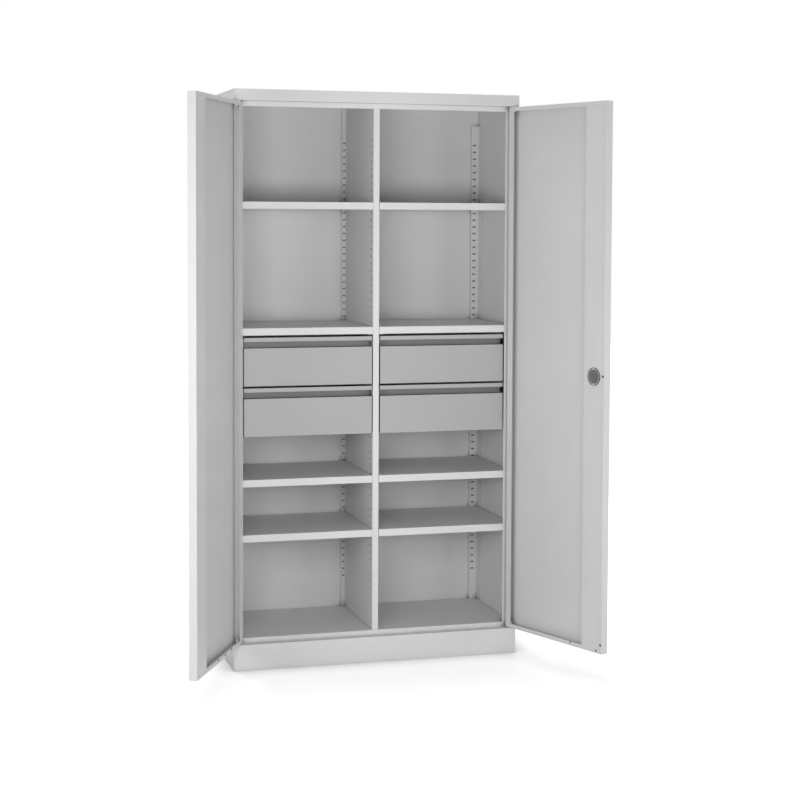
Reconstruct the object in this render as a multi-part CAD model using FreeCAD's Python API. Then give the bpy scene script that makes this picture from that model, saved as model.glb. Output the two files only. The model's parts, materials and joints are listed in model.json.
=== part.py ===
import FreeCAD, Part
import math
import os
from FreeCAD import Vector

# Two-door workshop cabinet of folded sheet steel, in millimetres.
# The origin is on the floor at the middle of the plinth's front edge, +Z is up and the back is towards +Y,
# so a depth is counted from the front plane of cover and plinth.

# Carcass
WIDTH = 1000.0
DEPTH = 440.0
HEIGHT = 1950.0
SHEET = 1.0
FIT = 0.3
RETURN_FOLD = 14.0
COVER_RIM = 38.0
COVER_BEND = 4.0
PLINTH_HEIGHT = 88.0
PLINTH_FOOT = 25.0
PLINTH_SHELF = 36.0
FRAME_SETBACK = 36.0
RAIL_FACE = 17.0
FLOOR_RISE = 15.0
SIDE_FRONT_FOLD = 5.0

# Slotted posts and the partition
STILE_REACH = 37.0
STILE_LEG = 56.0
STILE_HOLE_RADIUS = 2.6
STILE_HOLE_INSET = 4.6
STILE_HOLE_DROP = 22.5
HOOK_ROOM = 4.2
REAR_POST_ROOM = 12.0
REAR_POST_REACH = 33.5
REAR_POST_LEG = 33.0
REAR_POST_TOP = 86.0
PARTITION_THICKNESS = 21.0
PARTITION_SETBACK = 40.0
PARTITION_FLANGE = 15.0
ROW_PITCH = 25.0
COARSE_STEP = 2
ROW_FIRST = 217.5
ROW_TOP_ROOM = 150.0
SLOT_HEIGHT = 5.0
FRONT_SLOT_DEPTH = 73.0
FRONT_SLOT_WIDTH = 16.0
REAR_SLOT_WIDTH = 11.0
REAR_SLOT_INSET = 23.0
FLANGE_SLOT_WIDTH = 8.0

# Shelves and the clips that carry them inside their folds; a raised clip lifts its shelf by half a row
SHELF_FRONT = 38.0
SHELF_HEIGHT = 24.0
SHELF_SKIRT = 10.0
SHELF_END_GAP = 1.0
SHELF_ROWS = {1: 54, 2: 37, 3: 16, 4: 9}
RAISED_SHELVES = (3,)
CLIP_REACH = 14.0
CLIP_HOOK = 1.5
CLIP_THICKNESS = 2.0
CLIP_DROP = 1.8
CLIP_ROOM = 2.0

# Drawers below the second shelf
DRAWER_SHEET = 1.0
DRAWER_TOP_GAP = 8.0
DRAWER_FRONT_HEIGHT = 163.5
DRAWER_GAP = 7.0
DRAWER_SIDE_GAP = 4.0
GRIP_LIP = 13.5
GRIP_OPENING = 22.0
GRIP_DEPTH = 30.0
FRONT_TAB = 21.0
DRAWER_BACK_ROOM = 36.0
DRAWER_BOX_HEIGHT = 122.0
HANGER_SHEET = 1.2
HANGER_FLANGE = 15.0
HANGER_START = 78.0
HANGER_BACK_ROOM = 26.0
HANGER_DROP = 12.0
SLIDE_HEIGHT = 45.0
SLIDE_WIDTH = 12.7
SLIDE_SHEET = 1.5
SLIDE_BACK_ROOM = 30.0
SLIDE_START = 80.0
SLIDE_LIFT = 45.0

# Doors, hung on pins at the outer front corners
DOOR_THICKNESS = 27.0
DOOR_SHEET = 1.0
DOOR_GAP = 3.0
DOOR_MIDDLE_GAP = 4.0
DOOR_SIDE_INSET = 1.5
DOOR_LIP = 14.0
DOOR_FREE_LIP = 10.0
DOOR_HINGE_LIP = 25.0
STIFFENER_WIDTH = 98.0
STIFFENER_FOOT = 14.0
PIVOT_INSET = 13.0
PIVOT_DEPTH = 13.0
LEFT_OPEN = 116.8
RIGHT_OPEN = 110.2
PIN_RADIUS = 4.0
PIN_PLATE = 20.0
PIN_ENGAGEMENT = 16.0
LIP_HOLE_RADIUS = 2.4
FREE_LIP_HOLES = ((5.0, 30.0), (5.0, 919.0))
BOTTOM_LIP_HOLES = ((25.0, 8.0), (154.0, 10.5))
RUNNING_FIT = 0.05

# Rod lock in the right door
LOCK_HEIGHT = 1007.0
LOCK_BACKSET = 48.0
ROSE_WIDTH = 44.0
ROSE_HEIGHT = 100.0
ROSE_THICKNESS = 6.0
ROSE_BEVEL = 2.0
SPINDLE_SIZE = 8.0
SPINDLE_HOLE_RADIUS = 6.3
HANDLE_LENGTH = 92.0
HANDLE_WIDTH = 24.0
HANDLE_THICKNESS = 14.0
HANDLE_NECK_RADIUS = 11.0
HANDLE_BEVEL = 4.0
HANDLE_NECK = 9.0
CYLINDER_RADIUS = 8.0
CYLINDER_PROUD = 1.5
KEYWAY_WIDTH = 2.0
KEYWAY_HEIGHT = 8.0
KEYWAY_DEPTH = 4.0
CAM_LENGTH = 36.0
CAM_WIDTH = 14.0
CAM_DEPTH = 8.0
CAM_THICKNESS = 4.0
CRANK_RADIUS = 13.0
CRANK_PIN_RADIUS = 3.0
CRANK_PIN_LENGTH = 4.5
CRANK_START = -45.0
YOKE_PLAY = 0.6
YOKE_RIM = 4.5
ROD_WIDTH = 12.0
ROD_THICKNESS = 3.0
ROD_GAP = 0.5
ROD_JOG_DROP = 45.0
ROD_END_INSET = 3.0
KEEPER_PLAY = 2.0
GUIDE_LENGTH = 14.0
GUIDE_FOOT = 8.0
GUIDE_FROM_END = 60.0
BACK_PLATE_RADIUS = 30.0
BACK_PLATE_THICKNESS = 2.5
BACK_PLATE_DISC = 20.0
BACK_PLATE_STEP = 1.5
SCREW_CIRCLE = 25.5
SCREW_RADIUS = 2.6
SCREW_HEAD = 1.4
SCREW_LENGTH = 7.0
LOCK_OPENING_RADIUS = 28.0

# Places that follow from the sizes above
SIDE_OUT = WIDTH / 2 - SHEET - FIT
SIDE_IN = SIDE_OUT - SHEET
BACK_OUT = DEPTH - SHEET - FIT
BACK_IN = BACK_OUT - SHEET
COVER_BOTTOM = HEIGHT - COVER_RIM
UNDER_TOP = HEIGHT - SHEET
SHELL_TOP = UNDER_TOP - COVER_BEND
RAIL_BOTTOM = COVER_BOTTOM - RAIL_FACE
FLOOR_TOP = PLINTH_HEIGHT + FLOOR_RISE
OPENING_HALF = WIDTH / 2 - STILE_REACH
STILE_LEG_X = SIDE_IN - HOOK_ROOM
STILE_BACK = FRAME_SETBACK + STILE_LEG
POST_FACE = BACK_IN - REAR_POST_ROOM
PARTITION_HALF = PARTITION_THICKNESS / 2
SHELF_BACK = POST_FACE - SHELF_END_GAP
HANGER_END = DEPTH - HANGER_BACK_ROOM
SLIDE_LENGTH = DEPTH - SLIDE_BACK_ROOM - SLIDE_START
DRAWER_BACK = DEPTH - DRAWER_BACK_ROOM
SHELF_INNER_X = PARTITION_HALF + SHELF_END_GAP
SHELF_OUTER_X = STILE_LEG_X - SHEET - SHELF_END_GAP
PIVOT_X = WIDTH / 2 - PIVOT_INSET
DOOR_BOTTOM = PLINTH_HEIGHT + DOOR_GAP
DOOR_TOP = COVER_BOTTOM - DOOR_GAP
DOOR_FREE_X = DOOR_MIDDLE_GAP / 2
DOOR_HINGE_X = WIDTH / 2 - DOOR_SIDE_INSET
LOCK_X = DOOR_FREE_X + LOCK_BACKSET
ROD_DEPTH = CAM_DEPTH + CAM_THICKNESS + ROD_GAP
ROD_OFFSET = CRANK_RADIUS + CRANK_PIN_RADIUS + YOKE_PLAY + YOKE_RIM - ROD_WIDTH / 2
RAISE = ROW_PITCH / 2
COARSE_PITCH = ROW_PITCH * COARSE_STEP
FLANGE_HALF = PARTITION_HALF + PARTITION_FLANGE
FLANGE_SLOT_X = PARTITION_HALF + PARTITION_FLANGE / 2
REAR_SLOT_X = WIDTH / 2 - REAR_SLOT_INSET
FINE = (ROW_FIRST, ROW_PITCH)
COARSE = (ROW_FIRST + ROW_PITCH, COARSE_PITCH)
ROW_TOP = HEIGHT - ROW_TOP_ROOM
X_AXIS = Vector(1, 0, 0)
Y_AXIS = Vector(0, 1, 0)
Z_AXIS = Vector(0, 0, 1)


def block(x0, x1, d0, d1, z0, z1):
    """Box between two places on each axis."""
    corner = Vector(x0, d0, z0)
    return Part.makeBox(x1 - x0, d1 - d0, z1 - z0, corner)


def rod_y(x, z, radius, d0, d1):
    """Round bar from one depth to another."""
    return Part.makeCylinder(radius, d1 - d0, Vector(x, d0, z), Y_AXIS)


def rod_z(x, depth, radius, z0, z1):
    """Upright round bar."""
    return Part.makeCylinder(radius, z1 - z0, Vector(x, depth, z0), Z_AXIS)


def sheet_outline(path, thickness, side):
    """Outline of a folded sheet: the path, then its parallel line with mitred bends."""
    normals = []
    for (u0, v0), (u1, v1) in zip(path, path[1:]):
        length = math.hypot(u1 - u0, v1 - v0)
        normals.append((-(v1 - v0) / length * side, (u1 - u0) / length * side))
    offset = []
    for i, (u, v) in enumerate(path):
        before = normals[max(i - 1, 0)]
        after = normals[min(i, len(normals) - 1)]
        scale = thickness / (1 + before[0] * after[0] + before[1] * after[1])
        offset.append((u + (before[0] + after[0]) * scale, v + (before[1] + after[1]) * scale))
    return path + offset[::-1]


def polygon(points):
    """Flat face through the points."""
    return Part.Face(Part.makePolygon(points + points[:1]))


def fold_along_x(path, thickness, side, x0, x1):
    """Folded sheet whose section is drawn in depth and height."""
    points = [Vector(x0, d, z) for d, z in sheet_outline(path, thickness, side)]
    return polygon(points).extrude(Vector(x1 - x0, 0, 0))


def fold_along_y(path, thickness, side, d0, d1):
    """Folded sheet whose section is drawn across and in height."""
    points = [Vector(x, d0, z) for x, z in sheet_outline(path, thickness, side)]
    return polygon(points).extrude(Vector(0, d1 - d0, 0))


def fold_along_z(path, thickness, side, z0, z1):
    """Folded sheet whose section is drawn across and in depth."""
    points = [Vector(x, d, z0) for x, d in sheet_outline(path, thickness, side)]
    return polygon(points).extrude(Vector(0, 0, z1 - z0))


def mirrored(shape):
    """The same piece on the other side of the middle plane."""
    return shape.mirror(Vector(0, 0, 0), X_AXIS)


def save(name, shape):
    """Write one node."""
    shape.exportStep("parts/" + name + ".step")


def save_pair(name, right_shape):
    """Write a right-hand piece and its mirror image."""
    save("right_" + name, right_shape)
    save("left_" + name, mirrored(right_shape))


def rows(first, pitch):
    """Seat heights of a column of slots from its first row to the highest one."""
    count = int((ROW_TOP - first) / pitch) + 1
    return [first + pitch * row for row in range(count)]


def slots_in_leg(x, column):
    """Cutters for a column of slots through a sheet that faces across."""
    half = FRONT_SLOT_WIDTH / 2
    d0, d1 = FRONT_SLOT_DEPTH - half, FRONT_SLOT_DEPTH + half
    lows = [seat - CLIP_THICKNESS for seat in rows(*column)]
    return [block(x - 2 * SHEET, x + 2 * SHEET, d0, d1, low, low + SLOT_HEIGHT) for low in lows]


def slots_in_face(x, width, column):
    """Cutters for a column of slots through the front of a rear post."""
    x0, x1 = x - width / 2, x + width / 2
    d0, d1 = POST_FACE - SHEET, POST_FACE + 2 * SHEET
    lows = [seat - CLIP_THICKNESS for seat in rows(*column)]
    return [block(x0, x1, d0, d1, low, low + SLOT_HEIGHT) for low in lows]


def shelf_seat(number):
    """Height on which the skirts of a shelf rest."""
    lift = RAISE if number in RAISED_SHELVES else 0.0
    return ROW_FIRST + ROW_PITCH * SHELF_ROWS[number] + lift


def clip_lift(seat, first, pitch):
    """How far a clip rises from the row below a shelf to the shelf."""
    return (seat - first) % pitch


# Base and shell

def keeper_slot(x, z0, z1):
    """Cutter for the slot that a lock rod enters."""
    across = ROD_WIDTH / 2 + KEEPER_PLAY
    back = ROD_DEPTH + ROD_THICKNESS + KEEPER_PLAY
    return block(x - across, x + across, ROD_DEPTH - KEEPER_PLAY, back, z0, z1)


def plinth_ends(d0, d1):
    """Cutters that clear the ends of a ledge and foot for the plinth's side walls."""
    inside = WIDTH / 2 - SHEET - FIT
    low, high = -SHEET, PLINTH_HEIGHT + SHEET
    return [block(x0, x1, d0, d1, low, high) for x0, x1 in ((inside, WIDTH), (-WIDTH, -inside))]


def plinth_front():
    ledge_end = FRAME_SETBACK + RETURN_FOLD
    path = [(PLINTH_FOOT, 0), (0, 0), (0, PLINTH_HEIGHT), (ledge_end, PLINTH_HEIGHT)]
    panel = fold_along_x(path, SHEET, -1, -WIDTH / 2, WIDTH / 2)
    ledge = (PLINTH_HEIGHT - 2 * SHEET, PLINTH_HEIGHT + SHEET)
    return panel.cut(plinth_ends(SHEET, ledge_end) + [keeper_slot(LOCK_X, *ledge)])


def plinth_back():
    back = DEPTH - PLINTH_SHELF
    path = [(DEPTH - PLINTH_FOOT, 0), (DEPTH, 0), (DEPTH, PLINTH_HEIGHT), (back, PLINTH_HEIGHT)]
    panel = fold_along_x(path, SHEET, 1, -WIDTH / 2, WIDTH / 2)
    return panel.cut(plinth_ends(back, DEPTH - SHEET))


def plinth_side():
    half = WIDTH / 2
    path = [(half - PLINTH_FOOT, 0), (half, 0), (half, PLINTH_HEIGHT), (half - PLINTH_SHELF, PLINTH_HEIGHT)]
    panel = fold_along_y(path, SHEET, 1, SHEET + FIT, DEPTH - SHEET - FIT)
    front_end = FRAME_SETBACK + RETURN_FOLD + FIT
    back_end = DEPTH - PLINTH_SHELF - FIT
    inside = half - SHEET
    low, high = -SHEET, PLINTH_HEIGHT + SHEET
    return panel.cut([block(0, inside, 0, front_end, low, high), block(0, inside, back_end, DEPTH, low, high)])


def floor_panel():
    edge = SIDE_IN - FIT
    notch_x = OPENING_HALF - FIT
    notch_d = STILE_BACK + SHEET + FIT
    outline = [(-notch_x, FRAME_SETBACK), (notch_x, FRAME_SETBACK), (notch_x, notch_d), (edge, notch_d),
               (edge, BACK_IN - FIT), (-edge, BACK_IN - FIT), (-edge, notch_d), (-notch_x, notch_d)]
    face = polygon([Vector(x, d, PLINTH_HEIGHT) for x, d in outline])
    hollow = face.makeOffset2D(-SHEET)
    return face.extrude(Z_AXIS * FLOOR_RISE).cut(hollow.extrude(Z_AXIS * (FLOOR_RISE - SHEET)))


def side_panel():
    path = [(SIDE_OUT - SIDE_FRONT_FOLD, FRAME_SETBACK), (SIDE_OUT, FRAME_SETBACK), (SIDE_OUT, BACK_OUT)]
    return fold_along_z(path, SHEET, 1, PLINTH_HEIGHT, SHELL_TOP)


def back_panel():
    edge = SIDE_IN - FIT
    return block(-edge, edge, BACK_IN, BACK_OUT, PLINTH_HEIGHT, SHELL_TOP)


def rounded_lid(x, d0, d1, z, bend):
    """Block up to a height with both upper side edges rounded."""
    lid = block(-x, x, d0, d1, COVER_BOTTOM, z)
    edges = [edge for edge in lid.Edges if edge.BoundBox.ZMin > z - FIT and edge.BoundBox.XLength < FIT]
    return lid.makeFillet(bend, edges)


def top_cover():
    half = WIDTH / 2
    outside = rounded_lid(half, 0, DEPTH, HEIGHT, COVER_BEND)
    return outside.cut(rounded_lid(half - SHEET, SHEET, DEPTH - SHEET, UNDER_TOP, COVER_BEND - SHEET))


def top_front_rail():
    path = [(FRAME_SETBACK + RETURN_FOLD, RAIL_BOTTOM), (FRAME_SETBACK, RAIL_BOTTOM),
            (FRAME_SETBACK, COVER_BOTTOM), (SHEET + FIT, COVER_BOTTOM)]
    rail = fold_along_x(path, SHEET, -1, -SIDE_OUT, SIDE_OUT)
    face_end = SIDE_OUT - SIDE_FRONT_FOLD - FIT
    ends = [block(x0, x1, FRAME_SETBACK, STILE_BACK, RAIL_BOTTOM - SHEET, HEIGHT)
            for x0, x1 in ((face_end, WIDTH / 2), (-WIDTH / 2, -face_end))]
    ledge = (COVER_BOTTOM - SHEET, COVER_BOTTOM + 2 * SHEET)
    return rail.cut(ends + [keeper_slot(LOCK_X, *ledge)])


# Posts and partition

def front_stile():
    path = [(OPENING_HALF, FRAME_SETBACK), (STILE_LEG_X, FRAME_SETBACK), (STILE_LEG_X, STILE_BACK),
            (SIDE_IN - FIT, STILE_BACK)]
    post = fold_along_z(path, SHEET, 1, PLINTH_HEIGHT, RAIL_BOTTOM)
    hole = rod_y(OPENING_HALF + STILE_HOLE_INSET, RAIL_BOTTOM - STILE_HOLE_DROP, STILE_HOLE_RADIUS,
                 FRAME_SETBACK - SHEET, FRAME_SETBACK + 2 * SHEET)
    return post.cut(slots_in_leg(STILE_LEG_X, COARSE) + [hole])


def rear_post():
    inner = WIDTH / 2 - REAR_POST_REACH
    outer = SIDE_IN - FIT - SHEET
    path = [(inner, BACK_IN), (inner, POST_FACE), (outer, POST_FACE), (outer, POST_FACE - REAR_POST_LEG)]
    post = fold_along_z(path, SHEET, 1, FLOOR_TOP, HEIGHT - REAR_POST_TOP)
    return post.cut(slots_in_face(REAR_SLOT_X, REAR_SLOT_WIDTH, FINE))


def partition_rear_post():
    """Channel behind the partition whose front shows a slotted flange on both sides."""
    half = FLANGE_HALF
    path = [(-half, BACK_IN), (-half, POST_FACE), (half, POST_FACE), (half, BACK_IN)]
    post = fold_along_z(path, SHEET, 1, FLOOR_TOP, SHELL_TOP)
    left = slots_in_face(-FLANGE_SLOT_X, FLANGE_SLOT_WIDTH, FINE)
    return post.cut(left + slots_in_face(FLANGE_SLOT_X, FLANGE_SLOT_WIDTH, COARSE))


def partition_left_skin():
    half = PARTITION_HALF
    rear = POST_FACE - FIT
    path = [(half - SHEET - FIT, rear), (-half, rear), (-half, PARTITION_SETBACK), (half, PARTITION_SETBACK),
            (half, PARTITION_SETBACK + RETURN_FOLD)]
    skin = fold_along_z(path, SHEET, 1, FLOOR_TOP, UNDER_TOP)
    rail_back = FRAME_SETBACK + RETURN_FOLD + FIT
    notch = block(-WIDTH, WIDTH, 0, rail_back, RAIL_BOTTOM, HEIGHT)
    return skin.cut(slots_in_leg(-half, FINE) + [notch])


def partition_right_skin():
    half = PARTITION_HALF
    front = PARTITION_SETBACK + RETURN_FOLD + FIT
    skin = block(half - SHEET, half, front, POST_FACE - FIT, FLOOR_TOP, UNDER_TOP)
    return skin.cut(slots_in_leg(half, COARSE))


# Shelves and clips

def shelf_low(number):
    """Lower edge of a shelf's front."""
    return shelf_seat(number) + SHELF_SKIRT - SHELF_HEIGHT


def shelf(number):
    """Pan with short skirts that rest on the clips, deeper in front and between the rear clips."""
    seat = shelf_seat(number)
    low = shelf_low(number)
    top = seat + SHELF_SKIRT
    pan = block(SHELF_INNER_X, SHELF_OUTER_X, SHELF_FRONT, SHELF_BACK, seat, top)
    hollow = block(SHELF_INNER_X + SHEET, SHELF_OUTER_X - SHEET, SHELF_FRONT + SHEET, SHELF_BACK - SHEET,
                   seat - SHEET, top - SHEET)
    front = [(SHELF_FRONT, top - SHEET), (SHELF_FRONT, low), (SHELF_FRONT + RETURN_FOLD, low)]
    rear = [(SHELF_BACK, top - SHEET), (SHELF_BACK, low), (SHELF_BACK - RETURN_FOLD, low)]
    x0 = FLANGE_SLOT_X + FLANGE_SLOT_WIDTH / 2 + CLIP_ROOM
    x1 = REAR_SLOT_X - REAR_SLOT_WIDTH / 2 - CLIP_ROOM
    folds = [fold_along_x(front, SHEET, 1, SHELF_INNER_X, SHELF_OUTER_X), fold_along_x(rear, SHEET, -1, x0, x1)]
    return pan.cut(hollow).fuse(folds).removeSplitter()


def shelf_clip(x, depth, inward, width, seat, column):
    """Tongue with a hook behind its slot, cranked up where the shelf sits above a row."""
    lift = clip_lift(seat, *column)
    behind = -SHEET - FIT
    hook = behind - CLIP_HOOK
    low = -CLIP_THICKNESS
    stem = FIT + CLIP_THICKNESS
    outline = [(hook, 0), (hook, low - CLIP_DROP), (behind, low - CLIP_DROP), (behind, low)]
    if lift > 0:
        outline += [(stem, low), (stem, lift + low), (CLIP_REACH, lift + low), (CLIP_REACH, lift), (FIT, lift),
                    (FIT, 0)]
    else:
        outline += [(CLIP_REACH, low), (CLIP_REACH, 0)]
    along = Z_AXIS.cross(inward)
    start = Vector(x, depth, seat - lift) - along * (width / 2 - FIT)
    points = [start + inward * u + Z_AXIS * w for u, w in outline]
    return polygon(points).extrude(along * (width - 2 * FIT))


def shelf_clips():
    """Every clip of both compartments."""
    clips = []
    for number in SHELF_ROWS:
        seat = shelf_seat(number)
        for side, column in ((1, COARSE), (-1, FINE)):
            across = X_AXIS * side
            stile = side * (STILE_LEG_X - SHEET)
            clips += [shelf_clip(stile, FRONT_SLOT_DEPTH, across * -1, FRONT_SLOT_WIDTH, seat, COARSE),
                      shelf_clip(side * PARTITION_HALF, FRONT_SLOT_DEPTH, across, FRONT_SLOT_WIDTH, seat, column),
                      shelf_clip(side * FLANGE_SLOT_X, POST_FACE, Y_AXIS * -1, FLANGE_SLOT_WIDTH, seat, column),
                      shelf_clip(side * REAR_SLOT_X, POST_FACE, Y_AXIS * -1, REAR_SLOT_WIDTH, seat, FINE)]
    return Part.makeCompound(clips)


# Drawers

HANGER_TOP = shelf_low(2)
HANGER_INNER_X = PARTITION_HALF + FIT
HANGER_OUTER_X = OPENING_HALF - FIT - HANGER_SHEET
BOX_INNER_X = HANGER_INNER_X + HANGER_SHEET + SLIDE_WIDTH
BOX_OUTER_X = HANGER_OUTER_X - SLIDE_WIDTH
DRAWER_TOPS = {"upper": HANGER_TOP - DRAWER_TOP_GAP,
               "lower": HANGER_TOP - DRAWER_TOP_GAP - DRAWER_FRONT_HEIGHT - DRAWER_GAP}
HANGER_BOTTOM = DRAWER_TOPS["lower"] - DRAWER_FRONT_HEIGHT + HANGER_DROP
GRIP_BACK = SHELF_FRONT + GRIP_DEPTH
BOX_FRONT = GRIP_BACK + DRAWER_SHEET


def trimmed_hanger(path, side):
    """Plate that hangs from the shelf's returns by its flange."""
    hanger = fold_along_y(path, HANGER_SHEET, side, SHELF_FRONT + FIT, SHELF_BACK - FIT)
    below = HANGER_TOP - HANGER_SHEET
    ends = [block(0, WIDTH, 0, HANGER_START, 0, below), block(0, WIDTH, HANGER_END, DEPTH, 0, below)]
    return hanger.cut(ends)


def outer_hanger():
    x = HANGER_OUTER_X
    flange = x + HANGER_SHEET + HANGER_FLANGE
    return trimmed_hanger([(x, HANGER_BOTTOM), (x, HANGER_TOP), (flange, HANGER_TOP)], -1)


def inner_hanger():
    x = HANGER_INNER_X
    flange = x + HANGER_SHEET + HANGER_FLANGE
    return trimmed_hanger([(x, HANGER_BOTTOM), (x, HANGER_TOP), (flange, HANGER_TOP)], -1)


def slide_channel(x, inward, z, half_height, d0):
    """Channel of a slide: web at x, flanges towards inward."""
    reach = SLIDE_WIDTH - SLIDE_SHEET - FIT
    path = [(x + inward * reach, z - half_height), (x, z - half_height), (x, z + half_height),
            (x + inward * reach, z + half_height)]
    return fold_along_y(path, SLIDE_SHEET, -inward, d0, d0 + SLIDE_LENGTH)


def slide_height(level):
    return DRAWER_TOPS[level] - DRAWER_FRONT_HEIGHT + SLIDE_LIFT


def slide_outers():
    """Fixed slide channels of both drawers of one compartment."""
    half = SLIDE_HEIGHT / 2
    channels = []
    for level in DRAWER_TOPS:
        z = slide_height(level)
        channels.append(slide_channel(HANGER_INNER_X + HANGER_SHEET, 1, z, half, SLIDE_START))
        channels.append(slide_channel(HANGER_OUTER_X, -1, z, half, SLIDE_START))
    return Part.makeCompound(channels)


def slide_inners(level):
    """Slide channels on the sides of one drawer, nested in the fixed ones."""
    half = SLIDE_HEIGHT / 2 - SLIDE_SHEET - FIT
    z = slide_height(level)
    return Part.makeCompound([slide_channel(BOX_INNER_X, -1, z, half, SLIDE_START),
                              slide_channel(BOX_OUTER_X, 1, z, half, SLIDE_START)])


def drawer_box(level):
    """Open box whose front wall rises behind the grip."""
    bottom = DRAWER_TOPS[level] - DRAWER_FRONT_HEIGHT + DRAWER_SHEET
    top = bottom + DRAWER_BOX_HEIGHT
    back = DRAWER_BACK
    box = block(BOX_INNER_X, BOX_OUTER_X, BOX_FRONT, back, bottom, top)
    hollow = block(BOX_INNER_X + DRAWER_SHEET, BOX_OUTER_X - DRAWER_SHEET, BOX_FRONT + DRAWER_SHEET,
                   back - DRAWER_SHEET, bottom + DRAWER_SHEET, top)
    wall_top = DRAWER_TOPS[level] - 2 * DRAWER_SHEET
    wall = block(BOX_INNER_X, BOX_OUTER_X, BOX_FRONT, BOX_FRONT + DRAWER_SHEET, bottom, wall_top)
    return box.cut(hollow).fuse(wall).removeSplitter()


def drawer_front(level):
    """Front folded into a full-width grip: face, deep finger recess and overhanging lip."""
    top = DRAWER_TOPS[level]
    bottom = top - DRAWER_FRONT_HEIGHT
    face_top = top - GRIP_LIP - GRIP_OPENING
    lip_back = SHELF_FRONT + DRAWER_SHEET
    lip_top = top - DRAWER_SHEET
    path = [(BOX_FRONT + FRONT_TAB, bottom), (SHELF_FRONT, bottom), (SHELF_FRONT, face_top),
            (GRIP_BACK, face_top), (GRIP_BACK, lip_top), (lip_back, lip_top), (lip_back, top - GRIP_LIP)]
    x0 = PARTITION_HALF + DRAWER_SIDE_GAP
    x1 = OPENING_HALF - DRAWER_SIDE_GAP
    front = fold_along_x(path, DRAWER_SHEET, -1, x0, x1)
    back = BOX_FRONT - FIT
    cheeks = [block(x, x + DRAWER_SHEET, SHELF_FRONT, back, bottom, face_top) for x in (x0, x1 - DRAWER_SHEET)]
    tab_ends = [block(x, y, BOX_FRONT, DEPTH, bottom - SHEET, bottom + 2 * SHEET)
                for x, y in ((x0 - SHEET, BOX_INNER_X), (BOX_OUTER_X, x1 + SHEET))]
    return front.fuse(cheeks).cut(tab_ends).removeSplitter()


# Doors; every door piece is drawn closed and then swung open

def swung_right(shape):
    shape = shape.copy()
    shape.rotate(Vector(PIVOT_X, PIVOT_DEPTH, 0), Z_AXIS, RIGHT_OPEN)
    return shape


def swung_left(shape):
    shape = shape.copy()
    shape.rotate(Vector(-PIVOT_X, PIVOT_DEPTH, 0), Z_AXIS, -LEFT_OPEN)
    return shape


def door_panel(locked):
    """Pan with edge walls and a return lip; the lock door is pierced for spindle and rods."""
    pan = block(DOOR_FREE_X, DOOR_HINGE_X, 0, DOOR_THICKNESS, DOOR_BOTTOM, DOOR_TOP)
    inner = DOOR_THICKNESS - DOOR_SHEET
    hollow = block(DOOR_FREE_X + DOOR_SHEET, DOOR_HINGE_X - DOOR_SHEET, DOOR_SHEET, inner,
                   DOOR_BOTTOM + DOOR_SHEET, DOOR_TOP - DOOR_SHEET)
    window = block(DOOR_FREE_X + DOOR_FREE_LIP, DOOR_HINGE_X - DOOR_HINGE_LIP, inner, DOOR_THICKNESS,
                   DOOR_BOTTOM + DOOR_LIP, DOOR_TOP - DOOR_LIP)
    edges = ((DOOR_BOTTOM - SHEET, DOOR_BOTTOM + 2 * SHEET), (DOOR_TOP - 2 * SHEET, DOOR_TOP + SHEET))
    cutters = [hollow, window]
    cutters += [rod_z(PIVOT_X, PIVOT_DEPTH, PIN_RADIUS + RUNNING_FIT, z0, z1) for z0, z1 in edges]
    cutters += [rod_y(DOOR_FREE_X + x, DOOR_BOTTOM + z, LIP_HOLE_RADIUS, inner - SHEET, DOOR_THICKNESS + SHEET)
                for x, z in FREE_LIP_HOLES + BOTTOM_LIP_HOLES]
    if locked:
        across = ROD_WIDTH / 2 + FIT
        front, back = ROD_DEPTH - FIT, ROD_DEPTH + ROD_THICKNESS + FIT
        cutters += [block(LOCK_X - across, LOCK_X + across, front, back, z0, z1) for z0, z1 in edges]
        cutters.append(rod_y(LOCK_X, LOCK_HEIGHT, SPINDLE_HOLE_RADIUS, -SHEET, 2 * SHEET))
    return pan.cut(cutters)


def door_stiffener(locked):
    """Hat along the closing edge, level with the return lip."""
    x0 = DOOR_FREE_X + DOOR_FREE_LIP + FIT
    x1 = DOOR_FREE_X + STIFFENER_WIDTH
    path = [(x0, DOOR_SHEET + FIT), (x0, DOOR_THICKNESS), (x1, DOOR_THICKNESS), (x1, 2 * DOOR_SHEET),
            (x1 + STIFFENER_FOOT, 2 * DOOR_SHEET)]
    hat = fold_along_z(path, DOOR_SHEET, -1, DOOR_BOTTOM + DOOR_LIP + FIT, DOOR_TOP - DOOR_LIP - FIT)
    if locked:
        opening = rod_y(LOCK_X, LOCK_HEIGHT, LOCK_OPENING_RADIUS, DOOR_THICKNESS - 2 * SHEET, DOOR_THICKNESS + SHEET)
        hat = hat.cut(opening)
    return hat


def hinge_pins():
    """Pivot plates on the ledges above and below both doors, each with its pin."""
    half = PIN_PLATE / 2
    plate = DOOR_GAP - FIT
    pins = []
    for x in (-PIVOT_X, PIVOT_X):
        for ledge, way in ((PLINTH_HEIGHT, 1), (COVER_BOTTOM, -1)):
            z0, z1 = sorted((ledge, ledge + way * plate))
            foot = block(x - half, x + half, PIVOT_DEPTH - half, PIVOT_DEPTH + half, z0, z1)
            z0, z1 = sorted((ledge + way * plate, ledge + way * (DOOR_GAP + PIN_ENGAGEMENT)))
            pins.append(foot.fuse(rod_z(x, PIVOT_DEPTH, PIN_RADIUS, z0, z1)))
    return Part.makeCompound(pins)


# Lock

def front_rim(shape, depth):
    """Edges that lie in a plane across the depth."""
    return [edge for edge in shape.Edges if edge.BoundBox.YMax < depth + FIT]


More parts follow.
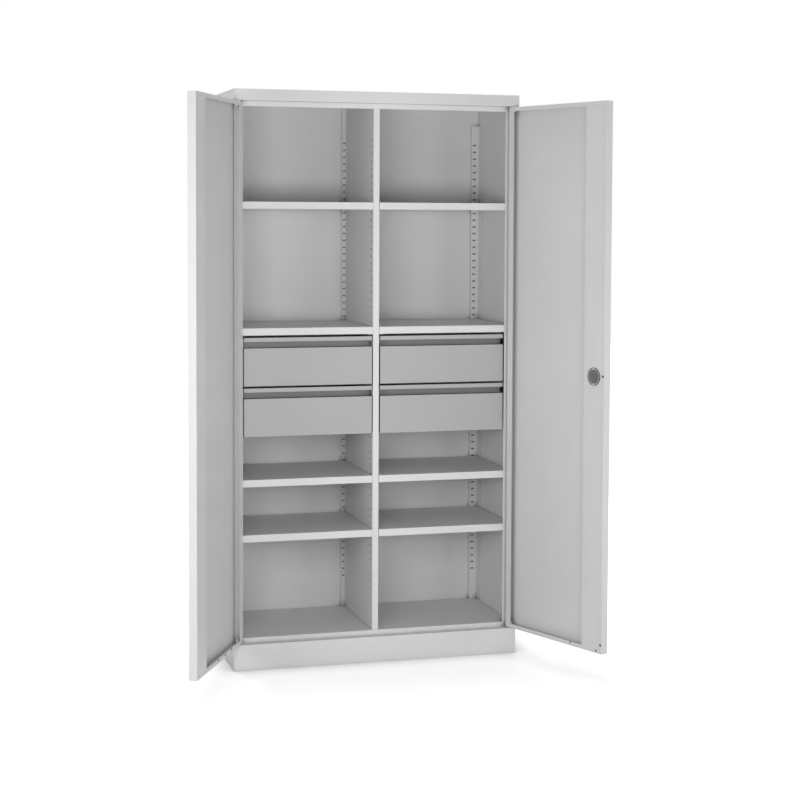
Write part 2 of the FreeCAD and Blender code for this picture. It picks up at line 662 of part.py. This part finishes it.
def lock_rose():
    """Plate round the spindle with a bevelled rim."""
    x, z = ROSE_WIDTH / 2, ROSE_HEIGHT / 2
    rose = block(LOCK_X - x, LOCK_X + x, -ROSE_THICKNESS, 0, LOCK_HEIGHT - z, LOCK_HEIGHT + z)
    rose = rose.makeChamfer(ROSE_BEVEL, front_rim(rose, -ROSE_THICKNESS))
    return rose.cut(rod_y(LOCK_X, LOCK_HEIGHT, SPINDLE_HOLE_RADIUS, -2 * ROSE_THICKNESS, SHEET))


HANDLE_BACK = -ROSE_THICKNESS - FIT
HANDLE_FACE = HANDLE_BACK - HANDLE_NECK - HANDLE_THICKNESS


def lock_handle():
    """Bevelled grip bar on a neck, upright while unlocked and bored for the key cylinder."""
    x, z = HANDLE_WIDTH / 2, HANDLE_LENGTH / 2
    back = HANDLE_BACK - HANDLE_NECK
    bar = block(LOCK_X - x, LOCK_X + x, HANDLE_FACE, back, LOCK_HEIGHT - z, LOCK_HEIGHT + z)
    bar = bar.makeChamfer(HANDLE_BEVEL, front_rim(bar, HANDLE_FACE))
    neck = rod_y(LOCK_X, LOCK_HEIGHT, HANDLE_NECK_RADIUS, back, HANDLE_BACK)
    bore = rod_y(LOCK_X, LOCK_HEIGHT, CYLINDER_RADIUS, HANDLE_FACE - SHEET, back)
    return bar.fuse(neck).cut(bore)


def lock_cylinder():
    """Key cylinder with its keyway."""
    barrel = rod_y(LOCK_X, LOCK_HEIGHT, CYLINDER_RADIUS - RUNNING_FIT, HANDLE_FACE - CYLINDER_PROUD,
                   HANDLE_BACK - HANDLE_NECK)
    keyway = block(LOCK_X - KEYWAY_WIDTH / 2, LOCK_X + KEYWAY_WIDTH / 2, HANDLE_FACE - 2 * CYLINDER_PROUD,
                   HANDLE_FACE + KEYWAY_DEPTH, LOCK_HEIGHT - KEYWAY_HEIGHT / 2, LOCK_HEIGHT + KEYWAY_HEIGHT / 2)
    return barrel.cut(keyway)


def crank_place(turn):
    """Crank pin's offset across and in height from the spindle axis at an angle in degrees."""
    angle = math.radians(CRANK_START + turn)
    return CRANK_RADIUS * math.cos(angle), CRANK_RADIUS * math.sin(angle)


def lock_cam():
    """Square spindle with a cross bar and two crank pins that drive the rods."""
    half = SPINDLE_SIZE / 2
    spindle = block(LOCK_X - half, LOCK_X + half, HANDLE_BACK, CAM_DEPTH, LOCK_HEIGHT - half, LOCK_HEIGHT + half)
    x, z = CAM_LENGTH / 2, CAM_WIDTH / 2
    disc_back = CAM_DEPTH + CAM_THICKNESS
    bar = block(LOCK_X - x, LOCK_X + x, CAM_DEPTH, disc_back, LOCK_HEIGHT - z, LOCK_HEIGHT + z)
    bar.rotate(Vector(LOCK_X, 0, LOCK_HEIGHT), Y_AXIS, -CRANK_START)
    across, up = crank_place(0)
    pins = [rod_y(LOCK_X + s * across, LOCK_HEIGHT + s * up, CRANK_PIN_RADIUS, disc_back, disc_back + CRANK_PIN_LENGTH)
            for s in (1, -1)]
    return spindle.fuse([bar] + pins)


def lock_rod(sign):
    """Cranked flat rod with a cross-slotted yoke round its crank pin; sign is 1 for the upper rod."""
    across, up = crank_place(0)
    play = CRANK_PIN_RADIUS + YOKE_PLAY
    slot_in = across - play
    slot_out = CRANK_RADIUS + play
    mid = LOCK_HEIGHT + sign * up
    half = play + YOKE_RIM
    end = DOOR_TOP - ROD_END_INSET if sign > 0 else DOOR_BOTTOM + ROD_END_INSET
    d0, d1 = ROD_DEPTH, ROD_DEPTH + ROD_THICKNESS
    sides = sorted((LOCK_X + sign * (slot_in - YOKE_RIM / 2), LOCK_X + sign * (slot_out + YOKE_RIM)))
    yoke = block(sides[0], sides[1], d0, d1, mid - half, mid + half)
    side = LOCK_X + sign * (ROD_OFFSET - ROD_WIDTH / 2)
    line = LOCK_X - sign * ROD_WIDTH / 2
    jog = LOCK_HEIGHT + sign * ROD_JOG_DROP
    path = [(side, mid), (side, jog), (line, jog + sign * ROD_OFFSET), (line, end)]
    bar = fold_along_y(path, ROD_WIDTH, -1, d0, d1)
    cut = sorted((LOCK_X + sign * slot_in, LOCK_X + sign * slot_out))
    slot = block(cut[0], cut[1], d0 - SHEET, d1 + SHEET, mid - play, mid + play)
    return yoke.fuse(bar).cut(slot).removeSplitter()


def rod_guides():
    """Hats on the door sheet that the rods slide in."""
    inner = ROD_DEPTH + ROD_THICKNESS + FIT
    half = ROD_WIDTH / 2 + FIT
    guides = []
    for sign, end in ((1, DOOR_TOP), (-1, DOOR_BOTTOM)):
        x = LOCK_X
        path = [(x - half - SHEET - GUIDE_FOOT, DOOR_SHEET), (x - half, DOOR_SHEET), (x - half, inner),
                (x + half, inner), (x + half, DOOR_SHEET), (x + half + SHEET + GUIDE_FOOT, DOOR_SHEET)]
        near = end - sign * GUIDE_FROM_END
        low, high = sorted((near, near - sign * GUIDE_LENGTH))
        guides.append(fold_along_z(path, SHEET, 1, low, high))
    return Part.makeCompound(guides)


def screw_places():
    """Heights of the two screws of the back plate."""
    return [LOCK_HEIGHT + SCREW_CIRCLE, LOCK_HEIGHT - SCREW_CIRCLE]


def lock_back_plate():
    """Round stepped plate over the lock opening, pierced for its two screws."""
    web = DOOR_THICKNESS
    face = web + BACK_PLATE_THICKNESS
    plate = rod_y(LOCK_X, LOCK_HEIGHT, BACK_PLATE_RADIUS, web, face)
    plate = plate.fuse(rod_y(LOCK_X, LOCK_HEIGHT, BACK_PLATE_DISC, face, face + BACK_PLATE_STEP))
    radius = SCREW_RADIUS / 2 + RUNNING_FIT
    return plate.cut([rod_y(LOCK_X, z, radius, web - SHEET, face + SHEET) for z in screw_places()])


def lock_screws():
    """Two screws through the back plate into the stiffener."""
    face = DOOR_THICKNESS + BACK_PLATE_THICKNESS
    screws = []
    for z in screw_places():
        head = rod_y(LOCK_X, z, SCREW_RADIUS, face, face + SCREW_HEAD)
        screws.append(head.fuse(rod_y(LOCK_X, z, SCREW_RADIUS / 2, face - SCREW_LENGTH, face)))
    return Part.makeCompound(screws)


def main():
    os.makedirs("parts", exist_ok=True)
    save("plinth_front", plinth_front())
    save("plinth_back", plinth_back())
    save_pair("plinth_side", plinth_side())
    save("floor_panel", floor_panel())
    save_pair("side_panel", side_panel())
    save("back_panel", back_panel())
    save("top_cover", top_cover())
    save("top_front_rail", top_front_rail())
    save_pair("front_stile", front_stile())
    save_pair("rear_post", rear_post())
    save("partition_left_skin", partition_left_skin())
    save("partition_right_skin", partition_right_skin())
    save("partition_rear_post", partition_rear_post())
    for number in SHELF_ROWS:
        save_pair("shelf_" + str(number), shelf(number))
    save("shelf_clips", shelf_clips())
    save_pair("outer_drawer_hanger", outer_hanger())
    save_pair("inner_drawer_hanger", inner_hanger())
    save_pair("slide_outers", slide_outers())
    for level in DRAWER_TOPS:
        save_pair(level + "_drawer_box", drawer_box(level))
        save_pair(level + "_drawer_front", drawer_front(level))
        save_pair(level + "_slide_inners", slide_inners(level))
    save("hinge_pins", hinge_pins())
    save("left_door_panel", swung_left(mirrored(door_panel(False))))
    save("left_door_stiffener", swung_left(mirrored(door_stiffener(False))))
    save("right_door_panel", swung_right(door_panel(True)))
    save("right_door_stiffener", swung_right(door_stiffener(True)))
    save("lock_rose", swung_right(lock_rose()))
    save("lock_handle", swung_right(lock_handle()))
    save("lock_cylinder", swung_right(lock_cylinder()))
    save("lock_cam", swung_right(lock_cam()))
    save("upper_lock_rod", swung_right(lock_rod(1)))
    save("lower_lock_rod", swung_right(lock_rod(-1)))
    save("rod_guides", swung_right(rod_guides()))
    save("lock_back_plate", swung_right(lock_back_plate()))
    save("lock_screws", swung_right(lock_screws()))


main()
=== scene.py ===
import json
import math

import bmesh
import bpy
from mathutils import Matrix, Vector


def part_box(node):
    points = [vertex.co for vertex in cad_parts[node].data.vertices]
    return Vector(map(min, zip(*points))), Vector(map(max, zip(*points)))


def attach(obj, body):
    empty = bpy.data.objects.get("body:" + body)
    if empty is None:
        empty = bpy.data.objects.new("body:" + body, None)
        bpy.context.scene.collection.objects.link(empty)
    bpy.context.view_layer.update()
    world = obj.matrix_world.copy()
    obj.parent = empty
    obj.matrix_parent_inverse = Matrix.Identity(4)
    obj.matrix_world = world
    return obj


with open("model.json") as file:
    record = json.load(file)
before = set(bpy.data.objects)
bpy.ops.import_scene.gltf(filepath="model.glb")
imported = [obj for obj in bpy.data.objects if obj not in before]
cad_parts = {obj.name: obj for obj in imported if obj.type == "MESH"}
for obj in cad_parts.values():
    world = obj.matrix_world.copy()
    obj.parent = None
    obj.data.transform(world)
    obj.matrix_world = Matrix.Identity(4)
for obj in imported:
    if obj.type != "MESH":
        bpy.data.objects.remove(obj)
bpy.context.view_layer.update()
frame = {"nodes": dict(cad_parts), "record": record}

NODES = frame["nodes"]
SLOT_OF = {row["node"]: row["material_slot"] for row in frame["record"]["subparts"]}


# Node helpers

def add(tree, kind, **settings):
    node = tree.nodes.new(kind)
    for key, value in settings.items():
        setattr(node, key, value)
    return node


def new_material(name):
    material = bpy.data.materials.new(name)
    material.use_nodes = True
    tree = material.node_tree
    return material, tree, tree.nodes["Principled BSDF"]


def grey(level):
    return (level, level, level)


def shade(color, share):
    return tuple(part * share for part in color)


def object_coords(tree):
    return add(tree, "ShaderNodeTexCoord").outputs["Object"]


def noise(tree, coords, scale, detail):
    """Noise of that many waves to the metre."""
    node = add(tree, "ShaderNodeTexNoise")
    node.inputs["Scale"].default_value = scale
    node.inputs["Detail"].default_value = detail
    tree.links.new(coords, node.inputs["Vector"])
    return node.outputs["Fac"]


def ramp(tree, value, stops):
    """Colour that runs through the stops, each a place from 0 to 1 and its colour."""
    node = add(tree, "ShaderNodeValToRGB")
    elements = node.color_ramp.elements
    while len(elements) < len(stops):
        elements.new(position=0.5)
    for element, (place, color) in zip(elements, stops):
        element.position = place
        element.color = (*color, 1)
    tree.links.new(value, node.inputs["Fac"])
    return node.outputs["Color"]


def vary(tree, value, dark, light, low=0.3, high=0.7):
    """Colour that runs from dark to light over the middle part of a noise."""
    return ramp(tree, value, [(low, dark), (high, light)])


def spread(tree, value, low, high, start=0.0, end=1.0, **settings):
    """Number that runs from low to high while the value runs from start to end."""
    node = add(tree, "ShaderNodeMapRange", **settings)
    node.inputs["From Min"].default_value = start
    node.inputs["From Max"].default_value = end
    node.inputs["To Min"].default_value = low
    node.inputs["To Max"].default_value = high
    tree.links.new(value, node.inputs["Value"])
    return node.outputs["Result"]


def bump(tree, height, strength, distance):
    node = add(tree, "ShaderNodeBump")
    node.inputs["Strength"].default_value = strength
    node.inputs["Distance"].default_value = distance
    tree.links.new(height, node.inputs["Height"])
    return node.outputs["Normal"]


def multiply(tree, first, second):
    mix = add(tree, "ShaderNodeMix", data_type="RGBA", blend_type="MULTIPLY")
    mix.inputs["Factor"].default_value = 1.0
    tree.links.new(first, mix.inputs["A"])
    tree.links.new(second, mix.inputs["B"])
    return mix.outputs["Result"]


def distance_from(tree, coords, point):
    node = add(tree, "ShaderNodeVectorMath", operation="DISTANCE")
    node.inputs[1].default_value = point
    tree.links.new(coords, node.inputs[0])
    return node.outputs["Value"]


HOLLOW_SAMPLES = 12


def painted_hollow_shade(tree, reach, closed, open_share, darkest):
    """Painted shade: share of the tone that is left, the darkest where little is open within the reach,
    else up to 1.
    """
    node = add(tree, "ShaderNodeAmbientOcclusion", samples=HOLLOW_SAMPLES)
    node.inputs["Distance"].default_value = reach
    return spread(tree, node.outputs["AO"], darkest, 1.0, closed, open_share)


def seen_by(tree, *kinds):
    """1 for rays of the two kinds, 0 for all others."""
    path = add(tree, "ShaderNodeLightPath")
    seen = add(tree, "ShaderNodeMath", operation="MAXIMUM")
    for socket, kind in zip(seen.inputs, kinds):
        tree.links.new(path.outputs["Is %s Ray" % kind], socket)
    return seen.outputs[0]


# Materials: scales are waves to the metre, depths and radii metres

COAT_CLOUDS, COAT_SPECKLE, COAT_PEEL = 5.0, 1500.0, 420.0
COAT_DARK, COAT_LIGHT = 0.985, 1.015
SPECKLE_DARK = 0.97
COAT_ROUGH_EITHER_WAY = 0.04
PEEL_STRENGTH, PEEL_DEPTH = 0.12, 0.0004


def powder_coat(name, color, rough, hollow_shade):
    """Satin powder coat: cloudy tone, fine speckle, orange peel and painted shade in narrow hollows."""
    material, tree, shader = new_material(name)
    coords = object_coords(tree)
    cloud = noise(tree, coords, COAT_CLOUDS, detail=3.0)
    speckle = noise(tree, coords, COAT_SPECKLE, detail=1.0)
    base = vary(tree, cloud, shade(color, COAT_DARK), shade(color, COAT_LIGHT))
    fine = vary(tree, speckle, grey(SPECKLE_DARK), grey(1), low=0.35, high=0.65)
    # The tone is darkened by painted shade in narrow hollows
    tone = multiply(tree, multiply(tree, base, fine), painted_hollow_shade(tree, *hollow_shade))
    tree.links.new(tone, shader.inputs["Base Color"])
    satin = spread(tree, cloud, rough - COAT_ROUGH_EITHER_WAY, rough + COAT_ROUGH_EITHER_WAY)
    tree.links.new(satin, shader.inputs["Roughness"])
    peel = noise(tree, coords, COAT_PEEL, detail=2.0)
    tree.links.new(bump(tree, peel, PEEL_STRENGTH, PEEL_DEPTH), shader.inputs["Normal"])
    return material


STREAK_LENGTHWISE = 0.06
SPANGLE = 160.0
SPANGLE_DARK, SPANGLE_LIGHT = 0.9, 1.06
STREAK_SMOOTHER, STREAK_ROUGHER = 0.08, 0.1
STREAK_STRENGTH, STREAK_DEPTH = 0.1, 0.0002


def plated(name, color, rough, grain, metallic=1.0):
    """Metal with drawn streaks along the height."""
    material, tree, shader = new_material(name)
    coords = object_coords(tree)
    stretch = add(tree, "ShaderNodeMapping")
    stretch.inputs["Scale"].default_value = (grain, grain, grain * STREAK_LENGTHWISE)
    tree.links.new(coords, stretch.inputs["Vector"])
    streak = noise(tree, stretch.outputs["Vector"], 1.0, detail=3.0)
    spangle = noise(tree, coords, SPANGLE, detail=2.0)
    tone = vary(tree, spangle, shade(color, SPANGLE_DARK), shade(color, SPANGLE_LIGHT))
    tree.links.new(tone, shader.inputs["Base Color"])
    shader.inputs["Metallic"].default_value = metallic
    sheen = spread(tree, streak, rough - STREAK_SMOOTHER, rough + STREAK_ROUGHER)
    tree.links.new(sheen, shader.inputs["Roughness"])
    tree.links.new(bump(tree, streak, STREAK_STRENGTH, STREAK_DEPTH), shader.inputs["Normal"])
    return material


GRAIN_ROUGH_EITHER_WAY = 0.08
GRAIN_DEPTH = 0.0003


def grained(tree, shader, grain, rough, strength):
    """Roughness and relief that follow a fine grain."""
    sheen = spread(tree, grain, rough - GRAIN_ROUGH_EITHER_WAY, rough + GRAIN_ROUGH_EITHER_WAY)
    tree.links.new(sheen, shader.inputs["Roughness"])
    tree.links.new(bump(tree, grain, strength, GRAIN_DEPTH), shader.inputs["Normal"])


TURNED_GRAIN, TURNED_MOTTLE = 700.0, 220.0
MOTTLE_DARK = 0.8
TURNED_STRENGTH = 0.15


def turned(name, centre, rings, rough):
    """Dark turned disc whose tone changes from ring to ring round its centre."""
    material, tree, shader = new_material(name)
    coords = object_coords(tree)
    edge = rings[-1][0]
    place = spread(tree, distance_from(tree, coords, centre), 0.0, 1.0, end=edge)
    tone = ramp(tree, place, [(radius / edge, grey(level)) for radius, level in rings])
    grain = noise(tree, coords, TURNED_GRAIN, detail=3.0)
    blotches = noise(tree, coords, TURNED_MOTTLE, detail=2.0)
    mottle = vary(tree, blotches, grey(MOTTLE_DARK), grey(1), low=0.35, high=0.65)
    tree.links.new(multiply(tree, tone, mottle), shader.inputs["Base Color"])
    grained(tree, shader, grain, rough, TURNED_STRENGTH)
    return material


MOULD_GRAIN, MOULD_CLOUDS = 900.0, 40.0
MOULD_DARK, MOULD_LIGHT = 0.9, 1.12
MOULD_STRENGTH = 0.2


def moulded(name, color, rough):
    """Dark moulded or die-cast surface with a fine grain."""
    material, tree, shader = new_material(name)
    coords = object_coords(tree)
    grain = noise(tree, coords, MOULD_GRAIN, detail=3.0)
    cloud = noise(tree, coords, MOULD_CLOUDS, detail=2.0)
    tone = vary(tree, cloud, shade(color, MOULD_DARK), shade(color, MOULD_LIGHT))
    tree.links.new(tone, shader.inputs["Base Color"])
    grained(tree, shader, grain, rough, MOULD_STRENGTH)
    return material


PAINT = grey(0.66)
FRONT_PAINT = shade(PAINT, 0.57)
PAINT_ROUGH, FRONT_ROUGH = 0.45, 0.42
# Painted shade in hollows: reach, open share where it is darkest and where it ends, tone at its darkest
CARCASS_HOLLOW_SHADE = (0.035, 0.18, 0.55, 0.12)
DOOR_HOLLOW_SHADE = (0.035, 0.15, 0.55, 0.5)
FRONT_HOLLOW_SHADE = (0.05, 0.33, 0.75, 0.32)
MATERIALS = {
    "carcass_paint": powder_coat("carcass_powder_coat", PAINT, PAINT_ROUGH, CARCASS_HOLLOW_SHADE),
    "door_paint": powder_coat("door_powder_coat", PAINT, PAINT_ROUGH, DOOR_HOLLOW_SHADE),
    "front_paint": powder_coat("drawer_front_powder_coat", FRONT_PAINT, FRONT_ROUGH, FRONT_HOLLOW_SHADE),
    "zinc_steel": plated("zinc_plate", (0.55, 0.56, 0.57), rough=0.38, grain=900.0),
    "bright_steel": plated("bright_steel", (0.9, 0.9, 0.91), rough=0.4, grain=1400.0, metallic=0.35),
    "dark_plastic": moulded("dark_moulding", (0.1, 0.1, 0.102), rough=0.5),
    "black_metal": moulded("black_die_casting", (0.03, 0.03, 0.031), rough=0.4),
}
for name, node in NODES.items():
    node.data.materials.clear()
    node.data.materials.append(MATERIALS[SLOT_OF[name]])
NODES["lock_cylinder"].data.materials[0] = MATERIALS["zinc_steel"]

# Radius and tone of the rings on the lock's back plate; the near-black ring at the step round the inner
# disc is painted shade, and the tone is darker towards the rim
PLATE_RINGS = [(0.0, 0.15), (0.018, 0.17), (0.0196, 0.09), (0.0206, 0.05), (0.0216, 0.3), (0.0272, 0.34),
               (0.0284, 0.14), (0.0306, 0.1)]
low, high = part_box("lock_back_plate")
plate_middle = tuple((a + b) / 2 for a, b in zip(low, high))
plate_finish = turned("turned_back_plate", plate_middle, PLATE_RINGS, rough=0.32)
NODES["lock_back_plate"].data.materials[0] = plate_finish

# Fine rounding where cast and turned edges catch the light
ROUNDING = {"lock_back_plate": 0.0005, "lock_handle": 0.0008, "lock_rose": 0.0006, "lock_screws": 0.0003}
ROUNDING_STEPS = 2
ROUNDED_FROM = math.radians(40)
for name, width in ROUNDING.items():
    rounding = NODES[name].modifiers.new("rounding", "BEVEL")
    rounding.width = width
    rounding.segments = ROUNDING_STEPS
    rounding.limit_method = "ANGLE"
    rounding.angle_limit = ROUNDED_FROM


# Black pads in the door folds, as painted shade where holes show dark: pushed into holes on the right,
# stuck on at the left

# A closed door: its free edge beside the middle of the cabinet, its thickness and its lower edge
DOOR_FREE_X, DOOR_THICKNESS, DOOR_BOTTOM = 0.002, 0.027, 0.091
SHADE_PAD_SIDES = 20
STEM_RADIUS, STEM_LENGTH = 0.0022, 0.003
# Share of the head's radius and height above the fold, from the seat to the crown
HEAD_PROFILE = [(1.0, 0.0), (1.0, 0.0005), (0.85, 0.0009), (0.45, 0.0011)]
# Reach from the free edge, height above the door's lower edge and radius of the head
LEFT_SHADE_PADS = [
    (0.223, 0.010, 0.0034),
    (0.298, 0.010, 0.0034),
    (0.370, 0.010, 0.0034),
]
RIGHT_SHADE_PADS = [
    (0.005, 0.030, 0.0042),
    (0.025, 0.008, 0.0036),
    (0.154, 0.0105, 0.0034),
    (0.005, 0.919, 0.0042),
]


def ring(shape, x, y, z, radius):
    angles = [2 * math.pi * step / SHADE_PAD_SIDES for step in range(SHADE_PAD_SIDES)]
    return [shape.verts.new((x + radius * math.cos(a), y, z + radius * math.sin(a))) for a in angles]


def shade_pad(shape, x, z, head, stem):
    """Turned black pad, with or without a stem, that lies on the inner side of a closed door's fold and
    stands in for the shade in a hole.
    """
    profile = [(STEM_RADIUS, -STEM_LENGTH), (STEM_RADIUS, 0.0)] if stem else []
    profile += [(share * head, rise) for share, rise in HEAD_PROFILE]
    rings = [ring(shape, x, DOOR_THICKNESS + rise, z, radius) for radius, rise in profile]
    for one, two in zip(rings, rings[1:]):
        for step in range(SHADE_PAD_SIDES):
            after = (step + 1) % SHADE_PAD_SIDES
            shape.faces.new((one[step], two[step], two[after], one[after]))
    shape.faces.new(rings[0])
    shape.faces.new(rings[-1])


def door_shade_pads(door, hand, places, stem, material):
    """Black pads of one door, painted shade where holes show dark, turned with it from closed to the rest
    pose.
    """
    hinge = next(row for row in frame["record"]["behaviour"]["joints"] if row["child"] == door)
    shape = bmesh.new()
    for reach, height, head in places:
        shade_pad(shape, hand * (DOOR_FREE_X + reach), DOOR_BOTTOM + height, head, stem)
    bmesh.ops.recalc_face_normals(shape, faces=shape.faces)
    swing = Matrix.Rotation(math.radians(-hinge["range_deg"][0]), 3, Vector(hinge["axis"]))
    bmesh.ops.rotate(shape, cent=Vector(hinge["pos_m"]), matrix=swing, verts=shape.verts)
    mesh = bpy.data.meshes.new(door + "_hole_shade_pads")
    shape.to_mesh(mesh)
    shape.free()
    mesh.materials.append(material)
    piece = bpy.data.objects.new(door + "_hole_shade_pads", mesh)
    bpy.context.scene.collection.objects.link(piece)
    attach(piece, door)


# Near-black pads: painted shade standing in for dark holes in the door folds
hole_shade_black = moulded("hole_shade_black_pad", grey(0.02), rough=0.55)
door_shade_pads("left_door", -1, LEFT_SHADE_PADS, False, hole_shade_black)
door_shade_pads("right_door", 1, RIGHT_SHADE_PADS, True, hole_shade_black)


# Stage

FLOOR_HALF = 14.0
FLOOR_GRAIN = 60.0
FLOOR_DARK, FLOOR_LIGHT = 0.84, 0.86
# Contact shadow: reach, open share where it is darkest and where it ends, tone at its darkest
CONTACT = (0.14, 0.35, 0.92, 0.45)
# The floor glows less near a point before the cabinet, and white from the far distance on
GLOW_CENTRE = (0, -0.7, 0)
GLOW_NEAR, GLOW_FAR = 0.6, 1.6
NEAR_GLOW = 0.47


def floor_material():
    """Pale floor that runs out into a white background, with a shadow where the cabinet stands on it."""
    material = bpy.data.materials.new("pale_floor")
    material.use_nodes = True
    tree = material.node_tree
    tree.nodes.clear()
    coords = object_coords(tree)
    contact = painted_hollow_shade(tree, *CONTACT)
    diffuse = add(tree, "ShaderNodeBsdfDiffuse")
    grain = noise(tree, coords, FLOOR_GRAIN, detail=3.0)
    pale = vary(tree, grain, grey(FLOOR_DARK), grey(FLOOR_LIGHT))
    tree.links.new(multiply(tree, pale, contact), diffuse.inputs["Color"])
    glow = add(tree, "ShaderNodeEmission")
    far = distance_from(tree, coords, GLOW_CENTRE)
    fade = spread(tree, far, NEAR_GLOW, 1.0, GLOW_NEAR, GLOW_FAR, interpolation_type="SMOOTHSTEP")
    level = add(tree, "ShaderNodeMath", operation="MULTIPLY")
    tree.links.new(seen_by(tree, "Camera", "Glossy"), level.inputs[0])
    tree.links.new(fade, level.inputs[1])
    tree.links.new(level.outputs[0], glow.inputs["Strength"])
    tree.links.new(contact, glow.inputs["Color"])
    both = add(tree, "ShaderNodeAddShader")
    tree.links.new(diffuse.outputs[0], both.inputs[0])
    tree.links.new(glow.outputs[0], both.inputs[1])
    tree.links.new(both.outputs[0], add(tree, "ShaderNodeOutputMaterial").inputs["Surface"])
    return material


corners = [(-FLOOR_HALF, -FLOOR_HALF, 0), (FLOOR_HALF, -FLOOR_HALF, 0), (FLOOR_HALF, FLOOR_HALF, 0),
           (-FLOOR_HALF, FLOOR_HALF, 0)]
floor_mesh = bpy.data.meshes.new("floor")
floor_mesh.from_pydata(corners, [], [(0, 1, 2, 3)])
floor = bpy.data.objects.new("floor", floor_mesh)
bpy.context.scene.collection.objects.link(floor)
floor.data.materials.append(floor_material())


# Light

# The world is white where it is seen, and dimmer as a light
WORLD_LEVEL = 0.3
world = bpy.data.worlds.new("studio")
bpy.context.scene.world = world
world.use_nodes = True
tree = world.node_tree
tree.nodes.clear()
sky = add(tree, "ShaderNodeBackground")
sky.inputs["Color"].default_value = (1, 1, 1, 1)
brightness = spread(tree, seen_by(tree, "Camera", "Transmission"), WORLD_LEVEL, 1.0)
tree.links.new(brightness, sky.inputs["Strength"])
tree.links.new(sky.outputs[0], add(tree, "ShaderNodeOutputWorld").inputs["Surface"])

BOX_WIDTH, BOX_HEIGHT = 1.0, 0.7


def soft_box(name, place, target, watts):
    light = bpy.data.lights.new(name, "AREA")
    light.shape = "RECTANGLE"
    light.size, light.size_y = BOX_WIDTH, BOX_HEIGHT
    light.energy = watts
    lamp = bpy.data.objects.new(name, light)
    lamp.location = place
    aim = Vector(target) - Vector(place)
    lamp.rotation_euler = aim.to_track_quat("-Z", "Y").to_euler()
    bpy.context.scene.collection.objects.link(lamp)


# Soft boxes in a ring round the cabinet, most of them before it: angle, distance, height, power
RING_TARGET = (0, 0, 1.0)
RING = [
    (-50, 4.6, 1.1, 30),
    (-25, 2.8, 1.4, 20.5),
    (-25, 4.6, 1.2, 8),
    (0, 3.6, 1.05, 19),
    (25, 3.6, 1.1, 10.5),
    (45, 4.6, 0.5, 17),
    (150, 3.8, 1.6, 30),
    (210, 3.8, 1.6, 30),
]
for number, (angle, distance, height, watts) in enumerate(RING):
    turn = math.radians(angle)
    place = (distance * math.sin(turn), -distance * math.cos(turn), height)
    soft_box("soft_box_%d" % number, place, RING_TARGET, watts)

# One more above, for the top cover
OVERHEAD_PLACE, OVERHEAD_TARGET = (0, 0.6, 4.2), (0, 0.6, 0)
OVERHEAD_POWER = 30
soft_box("overhead_box", OVERHEAD_PLACE, OVERHEAD_TARGET, OVERHEAD_POWER)


# Camera, as solved from the photo

EYE = (-1.54806, -5.75958, 1.52785)
YAW, PITCH, ROLL = (math.radians(angle) for angle in (-16.37, -3.22, 0.27))
SENSOR_WIDTH, LENS = 36.0, 78.98
SHIFT_X, SHIFT_Y = -0.02456, -0.105
forward = Vector((-math.sin(YAW) * math.cos(PITCH), math.cos(YAW) * math.cos(PITCH), math.sin(PITCH)))
across = Vector((math.cos(YAW), math.sin(YAW), 0))
upward = across.cross(forward)
side = across * math.cos(ROLL) + upward * math.sin(ROLL)
top = upward * math.cos(ROLL) - across * math.sin(ROLL)
camera = bpy.data.cameras.new("camera")
camera.sensor_width = SENSOR_WIDTH
camera.lens = LENS
camera.shift_x, camera.shift_y = SHIFT_X, SHIFT_Y
eye = bpy.data.objects.new("camera", camera)
facing = Matrix((side, top, -forward)).transposed()
eye.matrix_world = Matrix.Translation(EYE) @ facing.to_4x4()
bpy.context.scene.collection.objects.link(eye)
bpy.context.scene.camera = eye
bpy.context.scene.view_settings.view_transform = "Standard"
